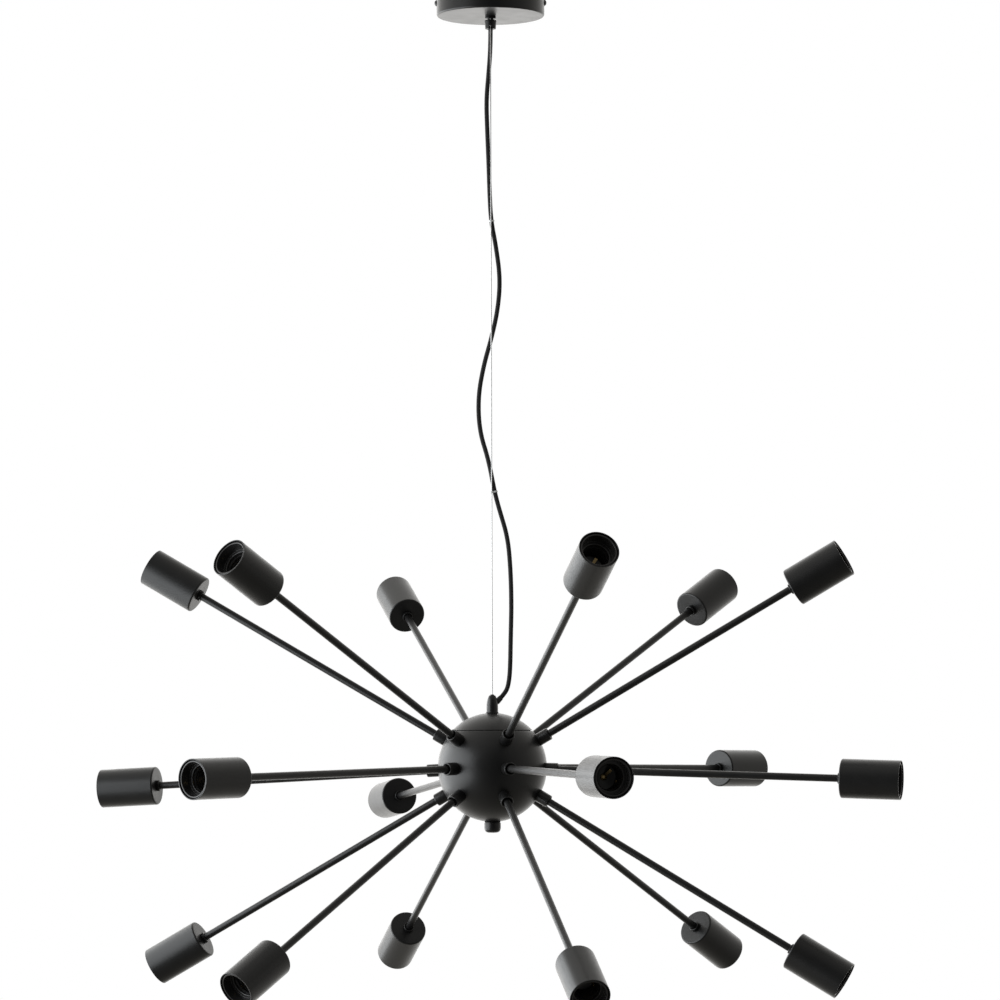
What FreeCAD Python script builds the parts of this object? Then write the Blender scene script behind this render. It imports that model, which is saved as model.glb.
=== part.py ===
"""Sputnik chandelier with 18 lamp cups, hung from a ceiling canopy by a steel wire.

Millimetres, +Z up. The origin is the canopy's centre in the ceiling plane, +Y points away from
the viewer and +X to the viewer's right. Everything hangs below the origin.
"""
import FreeCAD, Part
import math
import os

from FreeCAD import Placement, Rotation, Vector

os.makedirs("parts", exist_ok=True)

fit_gap = 0.05                  # between pieces that sit in one another
drill_gap = 0.1                 # round a screw or a wire in its hole
past = 1.0                      # how far a drilling runs past the face

# Canopy, bracket and wiring, heights below the ceiling
canopy_radius = 60.0
canopy_height = 25.0
canopy_sheet = 1.2
canopy_corner = 2.0
side_screw_height = 10.0
side_screw_radius = 2.0
side_screw_length = 6.0
strap_half_length = 57.6
strap_half_width = 10.0
strap_sheet = 1.5
tab_depth = 18.0
slot_offset = 30.0
slot_length = 20.0
slot_half_width = 2.5
ear_half_width = 16.0
ear_end_y = 32.0
anchor_half_width = 4.0
anchor_half_depth = 3.5
anchor_depth = 9.5
anchor_drill_depth = 3.0
rivet_radius = 2.0
grub_radius = 1.5
grub_depth = 6.0
earth_x = -12.5
earth_y = 13.0
earth_radius = 2.0
block_left_x = -10.0
block_right_x = 13.0
block_front_y = 17.0
block_back_y = 31.0
block_depth = 14.5
poles = (-6.0, 1.5, 9.0)
pole_depth = 10.0
pole_bore = 1.6
clamp_radius = 1.8
clamp_inset = 3.5

# Cord grip under the canopy
stem_radius = 5.0               # M10 thread, also on the rod in the ball
stem_top_z = -17.0
grip_radius = 6.5
grip_taper = 0.6
grip_top_z = -29.4
grip_shoulder_z = -31.5
grip_bottom_z = -39.6
ring_radius = 6.0
ring_low_z = -28.0
neck_radius = 3.4               # the stem, between ring and grip
slit_top_z = -33.5
slit_half_width = 2.2
channel_half_width = 1.0
swivel_radius = 1.4
swivel_gap = 0.3
swivel_z = -36.0                # where wire and cord are free to lean

# Wire and cord
drop = 835.0                    # canopy's underside to the ball's centre
wire_radius = 0.6
wire_y = -4.2                   # the wire hangs in front of the cord
wire_end = 72.6                 # above the ball's centre
cord_radius = 2.5
inner_cord_z = -7.0
inner_bend = 10.0
bend_share = 0.45               # of the shorter run at a corner, used up by the corner's arc
clip_thickness = 1.8
clip_corners = (7, 16)          # the clips sit at these points of the route
cord_route = [                  # from the grip down to the sleeve's mouth
    (0, 0, -36),
    (0, 0, -58),
    (-2, 1, -86),
    (-5, 2.5, -118),
    (-4, 3.5, -152),
    (-2.5, 3, -190),
    (-1.5, 1.2, -226),
    (0, -0.8, -254),
    (5.5, 0.5, -283),
    (10, 3, -318),
    (7.5, 5, -351),
    (0.5, 5, -383),
    (-8.5, 4, -414),
    (-15, 3.5, -450),
    (-13.5, 2, -488),
    (-3.5, 0.5, -520),
    (3.25, -1.1, -556.4),
    (8.5, -2.2, -576),
    (17.5, -1, -606),
    (20.5, 1, -640),
    (21.5, 2, -680),
    (20.5, 2.6, -716),
    (19.8, 3.4, -752),
    (18.2, 3.7, -767),
    (15.407, 2.984, -776.601),
    (9.613, 0.283, -782.993),
]

# Ball and what is on it, heights above and below the ball's centre
ball_radius = 60.0
ball_sheet = 1.5
seat_gap = 0.03                 # between the ball's skin and what sits on it
seam_height = 40.3
seam_gap = 0.8
spigot_outer = 42.1
spigot_inner = 40.8
spigot_depth = 4.0
spigot_rise = 2.2
rod_bore = 3.2
rod_low = -67.0
rod_high = 64.0
rod_window = 6.0
nut_seat = 57.5
nut_height = 4.0
finial_radius = 9.1
finial_low = -72.0
finial_top = -60.9
washer_radius = 8.6
splice_radius = 16.0
splice_half_height = 12.0

# Wire gripper on top of the ball
gripper_high = 79.2
lead_chamber_radius = 4.2
lead_chamber_top = 69.8
plunger_floor = 73.3
plunger_low = 75.4
plunger_shoulder = 77.6
plunger_top = 80.4
plunger_radius = 2.9
plunger_neck = 2.3
plunger_gap = 0.3
bite_height = 76.5
bite_ball_radius = 0.8
bite_ball_reach = 1.75
spring_outer = 2.7
spring_inner = 2.1

# Sleeve for the cord in the gripper's side, lengths along its axis from where it meets the wire's axis
sleeve_slope = 45.0
sleeve_turn = 25.0              # to the right and a little behind
sleeve_cross = 66.4             # height of that meeting point above the ball's centre
sleeve_end = 15.0
sleeve_start = 5.0
shank_start = 6.6
shank_radius = 2.95
lead_bend = 6.0

# Arms and lamp cups, measured along each arm from the ball's centre or from the cup's base
arm_radius = 4.0
arm_bore = 3.0
arm_start = 50.0
arm_in_cup = 9.0
arm_lead_radius = 1.8
arm_lead_end = 22.0             # past the cup's base
collar_start = 57.0
collar_top = 74.0
collar_radius = 7.0
collar_mouth = 5.4
collar_recess = 5.0
cup_reach = 388.0
cup_length = 65.0
cup_radius = 21.3
cup_sheet = 1.2
cup_floor = 1.5
cup_collar_radius = 6.0
cup_collar_length = 3.6
holder_radius = 19.4
holder_inner = 17.4
holder_low = 14.0
holder_high = 63.8
mouth_inner = 17.6
step_height = 52.4
cap_thread_high = 7.5
shell_bore = 13.25              # plain bore that stands for the E27 thread
shell_sheet = 0.4
shell_low = 32.0
shell_high = 51.8
floor_low = 27.0
floor_high = 30.0
contact_radius = 2.0
contact_head = 5.0

arms_in_a_row = 6
first_azimuth = -12.5
# The ball is drilled true, but each arm hangs a degree or so off in its thread, as on the real lamp.
arm_elevations = {
    "upper": (30, 27.9, 27.3, 29.9, 28.9, 29.3),
    "middle": (-1.9, -0.3, -5, -2.9, -1.4, -1.3),
    "lower": (-30.7, -28.5, -29, -29.4, -30.4, -30.9),
}
arm_turns = {
    "upper": (0.1, 0.7, 0.1, 0.5, -0.3, -0.7),
    "middle": (-0.3, 0.4, -0.2, -0.7, 0.4, -1.2),
    "lower": (-0.2, -0.1, 0.2, -3.1, 0.4, -2.1),
}

up = Vector(0, 0, 1)
right = Vector(1, 0, 0)
away = Vector(0, 1, 0)
hub_z = -(canopy_height + drop)
hub_centre = Vector(0, wire_y, hub_z)


def save(name, *solids):
    """One named node, from one solid or a group of like solids."""
    shape = solids[0] if len(solids) == 1 else Part.makeCompound(list(solids))
    shape.exportStep("parts/" + name + ".step")
    print(name, len(shape.Solids), "solids", round(shape.Volume), "mm3", shape.isValid())


def turned(outline):
    """Solid of revolution about Z from (radius, height) corners; a pair of them is an arc."""
    edges = []
    here = Vector(outline[0][0], 0, outline[0][1])
    for item in outline[1:] + outline[:1]:
        if isinstance(item[0], tuple):
            middle, end = [Vector(r, 0, z) for r, z in item]
            edges.append(Part.Arc(here, middle, end).toShape())
        else:
            end = Vector(item[0], 0, item[1])
            edges.append(Part.LineSegment(here, end).toShape())
        here = end
    return Part.Face(Part.Wire(edges)).revolve(Vector(0, 0, 0), up, 360)


def ring(outer, inner, low, high):
    """Plain ring about Z."""
    return turned([(inner, low), (outer, low), (outer, high), (inner, high)])


def rod(radius, low, high):
    """Plain round bar about Z."""
    return Part.makeCylinder(radius, high - low, Vector(0, 0, low), up)


def box(low, high):
    """Block between two corners."""
    return Part.makeBox(high[0] - low[0], high[1] - low[1], high[2] - low[2], Vector(*low))


def softened(shape, size, *circles):
    """Rounds the circular edges with these (radius, height) values."""
    edges = []
    for edge in shape.Edges:
        if not isinstance(edge.Curve, Part.Circle):
            continue
        for radius, height in circles:
            at_height = abs(edge.Curve.Center.z - height) < 0.01
            if at_height and abs(edge.Curve.Radius - radius) < 0.01:
                edges.append(edge)
    return shape.makeFillet(size, edges)


def hexagon(across_flats, bore, low, high):
    """Hexagon nut about Z."""
    corner = across_flats / math.sqrt(3)
    corners = [Vector(corner * math.cos(math.radians(turn)), corner * math.sin(math.radians(turn)), low)
               for turn in range(0, 361, 60)]
    body = Part.Face(Part.makePolygon(corners)).extrude(Vector(0, 0, high - low))
    return body.cut(rod(bore, low - past, high + past))


def moved(shape, x, y, z):
    """The shape, shifted."""
    copy = shape.copy()
    copy.translate(Vector(x, y, z))
    return copy


def in_ball(shape):
    """Puts a shape that is modelled round the ball's centre in its place under the canopy."""
    return moved(shape, *hub_centre)


def arm_direction(row, number):
    """Unit vector along an arm."""
    azimuth = math.radians(first_azimuth + 60 * number + arm_turns[row][number])
    elevation = math.radians(arm_elevations[row][number])
    flat = math.cos(elevation)
    return Vector(flat * math.cos(azimuth), flat * math.sin(azimuth), math.sin(elevation))


def on_arm(shape, row, number, reach=0.0):
    """Lays a shape that is modelled about +Z along an arm, its zero at reach from the ball's centre."""
    direction = arm_direction(row, number)
    copy = shape.copy()
    copy.Placement = Placement(hub_centre + direction * reach, Rotation(up, direction)) * copy.Placement
    return copy


def on_every_arm(shape, reach=0.0, rows=("upper", "middle", "lower")):
    """The same piece on all the arms of some rows."""
    return [on_arm(shape, row, number, reach) for row in rows for number in range(arms_in_a_row)]


def bend_at(before, corner, after, radius):
    """Start, middle and end of the arc that rounds a corner."""
    inward = (before - corner).normalize()
    outward = (after - corner).normalize()
    half_turn = (math.pi - inward.getAngle(outward)) / 2
    reach = radius * math.tan(half_turn)
    sag = radius / math.cos(half_turn) - radius
    return corner + inward * reach, corner + (inward + outward).normalize() * sag, corner + outward * reach


def easy_radius(before, corner, after):
    """The largest arc that a corner's two runs allow."""
    half_turn = (math.pi - (before - corner).getAngle(after - corner)) / 2
    shorter = min((before - corner).Length, (after - corner).Length)
    return bend_share * shorter / math.tan(half_turn)


def tube_along(points, radius, bend_radii):
    """Round bar along straight runs joined by arcs that are tangent to them, and its length."""
    edges = []
    here = points[0]
    for before, corner, after, bend in zip(points, points[1:], points[2:], bend_radii):
        start, middle, end = bend_at(before, corner, after, bend)
        edges.append(Part.LineSegment(here, start).toShape())
        edges.append(Part.Arc(start, middle, end).toShape())
        here = end
    edges.append(Part.LineSegment(here, points[-1]).toShape())
    path = Part.Wire(edges)
    circle = Part.Circle(points[0], points[1] - points[0], radius)
    return path.makePipeShell([Part.Wire(circle.toShape())], True, False), path.Length


# ---------------------------------------------------------------- canopy
def canopy_cup():
    """Deep-drawn steel cup, open at the ceiling."""
    inner_radius = canopy_radius - canopy_sheet
    inner_low = -canopy_height + canopy_sheet
    cup = softened(rod(canopy_radius, -canopy_height, 0), canopy_corner, (canopy_radius, -canopy_height))
    inside = rod(inner_radius, inner_low, past)
    inside = softened(inside, canopy_corner - canopy_sheet, (inner_radius, inner_low))
    cup = cup.cut(inside).cut(rod(stem_radius + drill_gap, -canopy_height - past, 0))
    screw_line = Vector(-canopy_radius - past, 0, -side_screw_height)
    return cup.cut(Part.makeCylinder(side_screw_radius + 0.2, -2 * screw_line.x, screw_line, right))


def side_screw():
    """Domed screw about Z, its head's seat at zero, its shank below."""
    head = turned([(0, 0), (3.5, 0), (3.5, 0.5), ((2.2, 1.85), (0, 2.4))])
    slot = box((-4, -0.4, 1.5), (4, 0.4, 3))
    return head.cut(slot).fuse(rod(side_screw_radius, -side_screw_length, 0))


def side_screws():
    """The pair, one each side of the canopy."""
    pair = []
    for side in (-1, 1):
        screw = side_screw()
        seat = Vector(side * (canopy_radius + 0.02), 0, -side_screw_height)
        screw.Placement = Placement(seat, Rotation(up, right * side))
        pair.append(screw)
    return pair


def ceiling_bracket():
    """Strap with a bent tab at each end, two slots for the ceiling screws and an ear for the wiring."""
    strap = box((-strap_half_length, -strap_half_width, -strap_sheet),
                (strap_half_length, strap_half_width, 0))
    half_slot = slot_length / 2 - slot_half_width
    for side in (-1, 1):
        faces = sorted((side * strap_half_length, side * (strap_half_length - strap_sheet)))
        strap = strap.fuse(box((faces[0], -strap_half_width, -tab_depth), (faces[1], strap_half_width, 0)))
        inside_tab = Vector(side * (strap_half_length - side_screw_length), 0, -side_screw_height)
        strap = strap.cut(Part.makeCylinder(side_screw_radius + fit_gap, 2 * side_screw_length, inside_tab,
                                            right * side))
        middle = side * slot_offset
        slot = box((middle - half_slot, -slot_half_width, -strap_sheet - past),
                   (middle + half_slot, slot_half_width, past))
        for end in (-half_slot, half_slot):
            slot = slot.fuse(moved(rod(slot_half_width, -strap_sheet - past, past), middle + end, 0, 0))
        strap = strap.cut(slot)
    strap = strap.fuse(box((-ear_half_width, 0, -strap_sheet), (ear_half_width, ear_end_y, 0)))
    strap = strap.cut(moved(rod(earth_radius + fit_gap, -strap_sheet - past, past), earth_x, earth_y, 0))
    strap = strap.cut(moved(rod(rivet_radius + fit_gap, -strap_sheet - past, past), 0, wire_y, 0))
    return strap.removeSplitter()


def from_the_front(radius, length):
    """Round bar into the anchor block's front, at the grub screw's height."""
    return Part.makeCylinder(radius, length, Vector(0, wire_y - anchor_half_depth, -grub_depth), away)


def wire_anchor():
    """Block riveted under the strap, drilled from below for the wire and from the front for its screw."""
    block = box((-anchor_half_width, wire_y - anchor_half_depth, -anchor_depth),
                (anchor_half_width, wire_y + anchor_half_depth, -strap_sheet))
    block = block.fuse(moved(rod(rivet_radius, -strap_sheet - past, -0.2), 0, wire_y, 0))
    wire_hole = rod(wire_radius + drill_gap, -anchor_depth - past, -anchor_drill_depth)
    block = block.cut(moved(wire_hole, 0, wire_y, 0))
    return block.cut(from_the_front(grub_radius + fit_gap, anchor_half_depth))


def anchor_screw():
    """Grub screw that ends just at the wire."""
    return from_the_front(grub_radius, anchor_half_depth - wire_radius - drill_gap)


def earth_screw():
    """Pan-head screw from below, with its washer."""
    head = turned([(0, -4.9), ((2.0, -4.7), (3.4, -3.3)), (3.4, -2.4), (4.2, -2.4), (4.2, -strap_sheet),
                   (0, -strap_sheet)])
    return moved(head.fuse(rod(earth_radius, -strap_sheet - past, 0)), earth_x, earth_y, 0)


def at_every_clamp(shape):
    """The shape at the two clamping screws of each pole."""
    return [moved(shape, pole, y, 0) for pole in poles
            for y in (block_front_y + clamp_inset, block_back_y - clamp_inset)]


def terminal_block():
    """Three-pole block under the strap's ear."""
    block = box((block_left_x, block_front_y, -block_depth), (block_right_x, block_back_y, -strap_sheet))
    depth = block_back_y - block_front_y + 2 * past
    for pole in poles:
        front = Vector(pole, block_front_y - past, -pole_depth)
        block = block.cut(Part.makeCylinder(pole_bore, depth, front, away))
    for well in at_every_clamp(rod(clamp_radius + fit_gap, -block_depth - past, -pole_depth - past)):
        block = block.cut(well)
    return block


def terminal_screws():
    """Clamping screws, set in from below and down on the poles' bores."""
    return at_every_clamp(rod(clamp_radius, -block_depth + 0.8, -pole_depth - pole_bore - drill_gap))


# ---------------------------------------------------------------- cord grip
def cord_grip():
    """Slotted grip: the cord fills its bore, and the wire runs in a channel in front of the cord."""
    narrow = grip_radius - grip_taper
    body = turned([(0, stem_top_z), (stem_radius, stem_top_z), (stem_radius, grip_top_z),
                   (narrow, grip_top_z), (grip_radius, grip_top_z - grip_taper),
                   (grip_radius, grip_shoulder_z), (narrow, grip_bottom_z), (0, grip_bottom_z)])
    body = softened(body, 0.4, (narrow, grip_bottom_z))
    body = body.cut(ring(grip_radius, neck_radius, grip_top_z, ring_low_z))
    top = stem_top_z + past
    low = grip_bottom_z - past
    bore = turned([(0, top), (cord_radius + drill_gap, top), (cord_radius + drill_gap, swivel_z),
                   (cord_radius + 1.0, grip_bottom_z), (cord_radius + 1.0, low), (0, low)])
    channel = box((-channel_half_width, wire_y - 1, swivel_z), (channel_half_width, -2, top))
    front_y = -grip_radius - past
    outline = [(channel_half_width / 2, slit_top_z), (slit_half_width, grip_bottom_z), (slit_half_width, low)]
    outline += [(-x, z) for x, z in reversed(outline)]
    corners = [Vector(x, front_y, z) for x, z in outline + outline[:1]]
    slit = Part.Face(Part.makePolygon(corners)).extrude(away * grip_radius)
    pocket = Part.makeSphere(swivel_radius + swivel_gap, Vector(0, wire_y, swivel_z))
    return body.cut(bore).cut(channel).cut(slit).cut(pocket)


def grip_ring():
    """Lock ring against the canopy's underside."""
    plain = ring(ring_radius, stem_radius + fit_gap, ring_low_z, -canopy_height)
    return softened(plain, 0.6, (ring_radius, ring_low_z))


def grip_nut():
    """Nut on the stem, on the canopy's floor."""
    seat = -canopy_height + canopy_sheet + drill_gap
    return hexagon(15, stem_radius + fit_gap, seat, seat + nut_height)


def swivel_ball():
    """Ball bush whose waisted bore lets the wire lean."""
    ball = Part.makeSphere(swivel_radius).common(rod(2 * swivel_radius, -0.9, 0.9))
    waist = turned([(0, -1.2), (0.95, -1.2), (wire_radius + fit_gap, 0), (0.95, 1.2), (0, 1.2)])
    return moved(ball.cut(waist), 0, wire_y, swivel_z)


# ---------------------------------------------------------------- wire, cord and clips
def straight_wire(low, high):
    """A stretch of the suspension wire."""
    return moved(rod(wire_radius, low, high), 0, wire_y, 0)


def inner_cord():
    """The cord from the grip to the terminal block."""
    points = [Vector(0, 0, swivel_z), Vector(0, 0, inner_cord_z), Vector(0, block_front_y, inner_cord_z)]
    cord, length = tube_along(points, cord_radius, [inner_bend])
    print("inner cord length", round(length, 1))
    return cord


def power_cord():
    """The cord along its slack route."""
    route = [Vector(*point) for point in cord_route]
    bends = [easy_radius(*corner) for corner in zip(route, route[1:], route[2:])]
    cord, length = tube_along(route, cord_radius, bends)
    plain = math.pi * cord_radius ** 2 * length
    print("cord length", round(length, 1), "smallest bend", round(min(bends), 1),
          "share of a plain bar's volume", round(cord.Volume / plain, 4))
    return cord


def clip(number):
    """Small clip with one eye round the cord and one round the wire, square to the cord."""
    corner = [Vector(*point) for point in cord_route[number - 1:number + 2]]
    start, centre, end = bend_at(*corner, easy_radius(*corner))
    lean = math.atan2(end.x - start.x, start.z - end.z)
    wire_eye = Vector(-centre.x / math.cos(lean), wire_y - centre.y, 0)
    half = clip_thickness / 2
    plate = rod(cord_radius + 0.8, -half, half).fuse(moved(rod(wire_radius + 1.0, -half, half), *wire_eye))
    side = wire_eye.cross(up).normalize() * (wire_radius + 0.9)
    bridge = Part.Face(Part.makePolygon([side, wire_eye + side, wire_eye - side, -side, side]))
    bridge.translate(Vector(0, 0, -half))
    plate = plate.fuse(bridge.extrude(Vector(0, 0, clip_thickness))).removeSplitter()
    plate = plate.cut(rod(cord_radius + 0.2, -clip_thickness, clip_thickness))
    plate = plate.cut(moved(rod(wire_radius + 0.35, -clip_thickness, clip_thickness), *wire_eye))
    plate.rotate(Vector(0, 0, 0), away, -math.degrees(lean))
    plate.translate(centre)
    return plate


# ---------------------------------------------------------------- ball
def ball_skin(low, high):
    """The ball's skin between two heights."""
    skin = Part.makeSphere(ball_radius).cut(Part.makeSphere(ball_radius - ball_sheet))
    wide = ball_radius + past
    return skin.common(box((-wide, -wide, low), (wide, wide, high)))


def rod_hole(low, high):
    """Drilling for the central rod."""
    return rod(stem_radius + drill_gap, low, high)


def on_the_skin(shape):
    """Hollows a piece to sit on the ball's skin."""
    return shape.cut(Part.makeSphere(ball_radius + seat_gap))


def hub_shell():
    """The ball up to the seam, with a hole for each arm and one for the rod."""
    wide = ball_radius + past
    shell = in_ball(ball_skin(-wide, seam_height - seam_gap / 2).cut(rod_hole(-wide, 0)))
    for hole in on_every_arm(rod(arm_radius + fit_gap, arm_start, ball_radius + 5)):
        shell = shell.cut(hole)
    return shell


def hub_cap():
    """The ball above the seam, with a spigot that centres it in the shell."""
    wide = ball_radius + past
    cap = ball_skin(seam_height + seam_gap / 2, wide)
    cap = cap.fuse(ring(spigot_outer, spigot_inner, seam_height - spigot_depth, seam_height + spigot_rise))
    return in_ball(cap.cut(rod_hole(0, wide)))


def hub_collar():
    """Collar on the ball's skin, its mouth wider than the arm that goes into it."""
    bore = arm_radius + fit_gap
    recess = collar_top - collar_recess
    collar = turned([(bore, collar_start), (collar_radius, collar_start), (collar_radius, collar_top),
                     (collar_mouth, collar_top), (collar_mouth, recess), (bore, recess)])
    return on_the_skin(softened(collar, 0.5, (collar_radius, collar_top), (collar_mouth, collar_top)))


def hub_nut():
    """Nut on an arm, against the inside of the ball."""
    return hexagon(13, arm_radius + fit_gap, nut_seat - nut_height, nut_seat)


def central_rod():
    """Hollow threaded rod through the ball, with a window where the leads come out."""
    tube = ring(stem_radius, rod_bore, rod_low, rod_high)
    return in_ball(tube.cut(box((0, -rod_window / 3, -rod_window), (rod_window, rod_window / 3, rod_window))))


def rod_nuts():
    """A nut at each end of the rod, against the inside of the ball."""
    upper = hexagon(14, stem_radius + fit_gap, nut_seat - nut_height, nut_seat)
    lower = hexagon(14, stem_radius + fit_gap, -nut_seat, -nut_seat + nut_height)
    return in_ball(upper), in_ball(lower)


def finial():
    """Rounded cap nut under the ball."""
    nut = turned([(0, finial_top), (finial_radius, finial_top), (finial_radius, -67),
                  ((7.6, -70.7), (4, finial_low)), (0, finial_low)])
    return in_ball(nut.cut(rod(stem_radius + fit_gap, rod_low - past, finial_top + past)))


def finial_washer():
    """Washer dished to the ball."""
    return in_ball(on_the_skin(ring(washer_radius, stem_radius + drill_gap, finial_top, -ball_radius + 2)))


def splice_block():
    """Junction block round the rod."""
    block = ring(splice_radius, stem_radius + drill_gap, -splice_half_height, splice_half_height)
    rims = [(splice_radius, -splice_half_height), (splice_radius, splice_half_height)]
    return in_ball(softened(block, 1.0, *rims))


# ---------------------------------------------------------------- wire gripper
def gripper_blank():
    """The bullet's outside, before it is drilled."""
    return on_the_skin(turned([(0, 57), (7.0, 57), (7.0, 60.5), (6.45, 60.9), (6.4, 66),
                               ((5.6, 73.2), (3.4, gripper_high)), (0, gripper_high)]))


def along_sleeve(shape):
    """Lays a shape that is modelled about +Z along the sleeve's axis, in the ball's own frame."""
    copy = shape.copy()
    copy.Placement = Placement(Vector(0, 0, sleeve_cross), Rotation(up, sleeve_direction()))
    return copy


def sleeve_direction():
    """Unit vector out of the sleeve's mouth."""
    flat = math.cos(math.radians(sleeve_slope))
    turn = math.radians(sleeve_turn)
    return Vector(flat * math.cos(turn), flat * math.sin(turn), math.sin(math.radians(sleeve_slope)))


def gripper_body():
    """Drilled for the rod, the cord's bend, the plunger and the sleeve."""
    wire_hole = wire_radius + swivel_gap
    well = plunger_radius + plunger_gap
    neck = plunger_neck + plunger_gap
    lip = plunger_shoulder + plunger_gap
    drilling = turned([(0, 56), (stem_radius + fit_gap, 56), (stem_radius + fit_gap, rod_high + drill_gap),
                       (lead_chamber_radius, rod_high + drill_gap), (lead_chamber_radius, lead_chamber_top),
                       (wire_hole, lead_chamber_top), (wire_hole, plunger_floor), (well, plunger_floor),
                       (well, lip), (neck, lip), (neck, gripper_high + past), (0, gripper_high + past)])
    return in_ball(gripper_blank().cut(drilling).cut(along_sleeve(rod(shank_radius + fit_gap, 0, 12))))


def at_every_ball(shape):
    """The shape at each of the three balls' bearings, which is +X turned."""
    copies = []
    for turn in (90, 210, 330):
        copy = shape.copy()
        copy.rotate(Vector(0, 0, 0), up, turn)
        copies.append(copy)
    return copies


def gripper_plunger():
    """Shouldered plunger round the wire, with three windows for the balls."""
    bore = wire_radius + 0.4
    plunger = turned([(bore, plunger_low), (plunger_radius, plunger_low), (plunger_radius, plunger_shoulder),
                      (plunger_neck, plunger_shoulder), (plunger_neck, plunger_top - 0.8),
                      ((plunger_neck - 0.35, plunger_top - 0.3), (bore, plunger_top))])
    window_radius = bite_ball_radius + drill_gap
    window = Part.makeCylinder(window_radius, plunger_radius + past, Vector(0, 0, bite_height), right)
    for turned_window in at_every_ball(window):
        plunger = plunger.cut(turned_window)
    return in_ball(plunger)


def gripper_balls():
    """Three balls between wire and plunger wall."""
    ball = Part.makeSphere(bite_ball_radius, Vector(bite_ball_reach, 0, bite_height))
    return [in_ball(copy) for copy in at_every_ball(ball)]


def gripper_spring():
    """Spring under the plunger, as a plain ring."""
    return in_ball(ring(spring_outer, spring_inner, plunger_floor + drill_gap, plunger_low - drill_gap))


def cord_sleeve():
    """Tapered sleeve; its shank is in the gripper's side."""
    taper = turned([(0, sleeve_start), (3.35, sleeve_start), (3.3, 8), (2.9, sleeve_end), (0, sleeve_end)])
    sleeve = along_sleeve(taper).cut(gripper_blank())
    sleeve = sleeve.fuse(along_sleeve(rod(shank_radius, shank_start, 10)))
    return in_ball(sleeve.cut(along_sleeve(rod(cord_radius + fit_gap, 0, 2 * sleeve_end))))


def hub_lead():
    """The cord inside sleeve, gripper and rod."""
    cross = Vector(0, 0, sleeve_cross)
    points = [cross + sleeve_direction() * sleeve_end, cross, Vector(0, 0, splice_half_height - 2)]
    lead, length = tube_along(points, cord_radius, [lead_bend])
    print("hub lead length", round(length, 1))
    return in_ball(lead)


# ---------------------------------------------------------------- arms and cups
def arm_leads():
    """One lead down each arm, from the junction block to the back of the holder."""
    block_space = in_ball(rod(splice_radius + fit_gap, -2 * splice_radius, 2 * splice_radius))
    lead = rod(arm_lead_radius, splice_radius / 2, cup_reach + arm_lead_end)
    return [copy.cut(block_space) for copy in on_every_arm(lead)]


def arm_tube():
    """Tube from inside the ball into the cup, along +Z."""
    return ring(arm_radius, arm_bore, arm_start, cup_reach + arm_in_cup)


def cup_collar():
    """Lock collar against the cup's base, which is at zero."""
    plain = ring(cup_collar_radius, arm_radius + fit_gap, -cup_collar_length, 0)
    return softened(plain, 0.6, (cup_collar_radius, -cup_collar_length))


def cup():
    """Spun cup: base at zero, open at the far end."""
    outside = softened(rod(cup_radius, 0, cup_length), 1.8, (cup_radius, 0))
    inner_radius = cup_radius - cup_sheet
    inside = softened(rod(inner_radius, cup_floor, cup_length + past), 0.8, (inner_radius, cup_floor))
    shell = outside.cut(inside).cut(rod(arm_radius + fit_gap, -past, 2 * cup_floor))
    return softened(shell, 0.4, (cup_radius, cup_length), (inner_radius, cup_length))


def holder_cap():
    """Plastic cap that screws onto the arm's end and holds the holder's body."""
    bore = arm_radius + fit_gap
    base = cup_floor + drill_gap
    high = holder_low - drill_gap
    return turned([(bore, base), (13, base), (holder_radius, 7), (holder_radius, high), (holder_inner, high),
                   (holder_inner, cap_thread_high), (bore, cap_thread_high)])


def lampholder():
    """Holder body: a wide mouth down to a step, then the bore for the threaded shell, over a floor."""
    shell_seat = shell_bore + shell_sheet + fit_gap
    body = turned([(contact_radius, floor_low), (holder_inner, floor_low), (holder_inner, holder_low),
                   (holder_radius, holder_low), (holder_radius, holder_high), (mouth_inner, holder_high),
                   (mouth_inner, step_height), (shell_seat, step_height), (shell_seat, shell_low),
                   (shell_bore - 0.75, shell_low), (shell_bore - 0.75, floor_high),
                   (contact_radius, floor_high)])
    rims = [(holder_radius, holder_high), (mouth_inner, holder_high), (shell_seat, step_height)]
    return softened(body, 0.5, *rims)


def screw_shell():
    """Metal shell of the holder; the bulb's cap screws into it."""
    return ring(shell_bore + shell_sheet, shell_bore, shell_low, shell_high)


def centre_contact():
    """Brass contact with a domed head, riveted through the holder's floor."""
    rivet = contact_radius - fit_gap
    return turned([(0, floor_low - 1.5), (rivet, floor_low - 1.5), (rivet, floor_high),
                   (contact_head, floor_high), (contact_head, floor_high + 0.7), (3, floor_high + 1),
                   ((1.8, floor_high + 1.5), (0.6, floor_high + 1.8)), (0, floor_high + 1.8)])


# ---------------------------------------------------------------- build
save("canopy_cup", canopy_cup())
save("canopy_side_screws", *side_screws())
save("ceiling_bracket", ceiling_bracket())
save("wire_anchor", wire_anchor())
save("anchor_screw", anchor_screw())
save("earth_screw", earth_screw())
save("terminal_block", terminal_block())
save("terminal_screws", *terminal_screws())
save("cord_grip", cord_grip())
save("grip_ring", grip_ring())
save("grip_nut", grip_nut())
save("wire_swivel_ball", swivel_ball())
save("wire_top_run", straight_wire(swivel_z + 0.3, -anchor_drill_depth - drill_gap))
save("cord_inner_run", inner_cord())

save("suspension_wire", straight_wire(hub_z + wire_end, swivel_z))
save("power_cord", power_cord())
save("cord_clips", *[clip(corner) for corner in clip_corners])

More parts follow.
